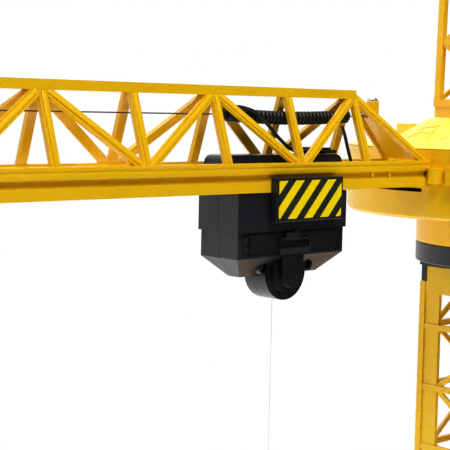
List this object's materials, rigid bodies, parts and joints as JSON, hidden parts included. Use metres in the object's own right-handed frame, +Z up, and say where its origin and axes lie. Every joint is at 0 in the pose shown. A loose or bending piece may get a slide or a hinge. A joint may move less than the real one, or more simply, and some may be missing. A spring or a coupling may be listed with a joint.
{
  "type": "toy tower crane",
  "caption": "Lattice toy tower crane with a slewing turret, a travelling trolley on its jib, and a hook hoisted by a winch in the trolley.",
  "frame": {"origin": "on the mast's axis, at the underside of the base that it stands on", "axes": "+Z up the mast, -X out along the jib, +Y to the far side of the jib"},
  "size_m": [1.15, 0.4088, 1.1989],
  "materials": {
    "yellow_abs": "moulded, satin",
    "roof_abs": "moulded, glossy",
    "black_abs": "moulded, fine spark texture",
    "slate_abs": "moulded, smooth",
    "white_nylon": "natural nylon",
    "bright_steel": "bright zinc plate",
    "cord_rubber": "satin jacket",
    "clear_nylon": "drawn monofilament",
    "circuit_board": "solder mask",
    "hazard_print": "printed film",
    "cast_ballast": "as cast"
  },
  "bodies": {
    "tower": {"base_frame": "yellow_abs", "base_bottom_plate": "black_abs", "base_ballast": "cast_ballast", "foot_pad_a": "black_abs", "foot_pad_b": "black_abs", "foot_pad_c": "black_abs", "foot_pad_d": "black_abs", "mast_socket": "yellow_abs", "mast_section_lower": "yellow_abs", "mast_section_middle": "yellow_abs", "mast_section_upper": "yellow_abs", "mast_top_bracket": "black_abs", "slewing_ring": "slate_abs", "slew_gear": "white_nylon"},
    "turret": {"turret_neck": "yellow_abs", "turret_drum": "yellow_abs", "turret_roof": "roof_abs", "slew_motor": "bright_steel", "control_board": "circuit_board", "tower_head": "yellow_abs", "head_cap": "yellow_abs", "jib_inner": "yellow_abs", "jib_outer": "yellow_abs", "jib_splice_clip": "yellow_abs", "jib_splice_bar_front": "bright_steel", "jib_splice_bar_back": "bright_steel", "jib_root_pin": "bright_steel", "jib_end_plate": "yellow_abs", "wire_post": "yellow_abs", "wire_post_screw": "bright_steel", "wire_crimp": "bright_steel", "guide_wire": "black_abs", "curly_cord": "cord_rubber", "cord_tail_turret": "cord_rubber", "counter_jib": "yellow_abs", "counterweight_box": "black_abs", "counterweight_slug": "cast_ballast"},
    "pinion": {"slew_pinion": "white_nylon"},
    "trolley": {"trolley_shell_front": "black_abs", "trolley_shell_back": "black_abs", "trolley_top_box": "black_abs", "side_plate_front": "black_abs", "side_plate_back": "black_abs", "hazard_label_front": "hazard_print", "hazard_label_back": "hazard_print", "winch_cover": "black_abs", "shell_screw_left": "bright_steel", "shell_screw_right": "bright_steel", "cord_clamp": "black_abs", "cord_tail_trolley": "cord_rubber", "travel_motor": "bright_steel", "hoist_motor": "bright_steel", "hoist_line": "clear_nylon"},
    "outer_wheels": {"wheelset_outer": "white_nylon"},
    "inner_wheels": {"wheelset_inner": "white_nylon"},
    "winch": {"winch_drum": "white_nylon"},
    "worm": {"hoist_worm": "white_nylon"},
    "block": {"hook_block": "yellow_abs"},
    "hook": {"hook": "bright_steel"}
  },
  "joints": [
    {"name": "turret_slew", "type": "hinge", "parent": "tower", "child": "turret", "pos_m": [0, 0, 0.867], "axis": [0, 0, 1], "range_deg": [-175, 175]},
    {"name": "pinion_spin", "type": "hinge", "parent": "turret", "child": "pinion", "pos_m": [0, 0.0487, 0.874], "axis": [0, 0, 1], "range_deg": [-530, 530]},
    {"name": "trolley_travel", "type": "slide", "parent": "turret", "child": "trolley", "axis": [-1, 0, 0], "range_m": [-0.01, 0.46], "deforming": ["curly_cord", "cord_tail_trolley", "cord_tail_turret"]},
    {"name": "outer_wheel_spin", "type": "hinge", "parent": "trolley", "child": "outer_wheels", "pos_m": [-0.3294, 0, 0.9311], "axis": [0, -1, 0], "continuous": true},
    {"name": "inner_wheel_spin", "type": "hinge", "parent": "trolley", "child": "inner_wheels", "pos_m": [-0.2454, 0, 0.9311], "axis": [0, -1, 0], "continuous": true},
    {"name": "hook_hoist", "type": "slide", "parent": "trolley", "child": "block", "axis": [0, 0, 1], "range_m": [-0.58, 0.135], "deforming": ["hoist_line"]},
    {"name": "winch_spin", "type": "hinge", "parent": "trolley", "child": "winch", "pos_m": [-0.2874, 0, 0.8631], "axis": [0, 1, 0], "continuous": true},
    {"name": "worm_spin", "type": "hinge", "parent": "trolley", "child": "worm", "pos_m": [-0.2874, 0.004, 0.8812], "axis": [1, 0, 0], "continuous": true},
    {"name": "hook_swivel", "type": "hinge", "parent": "block", "child": "hook", "pos_m": [-0.2874, 0, 0.652], "axis": [0, 0, 1], "continuous": true}
  ],
  "couplings": [
    {"joint": "pinion_spin", "follows": "turret_slew", "ratio": 3},
    {"joint": "outer_wheel_spin", "follows": "trolley_travel", "rad_per_m": 166.67},
    {"joint": "inner_wheel_spin", "follows": "trolley_travel", "rad_per_m": 166.67},
    {"joint": "winch_spin", "follows": "hook_hoist", "rad_per_m": 125},
    {"joint": "worm_spin", "follows": "hook_hoist", "rad_per_m": 2750}
  ]
}
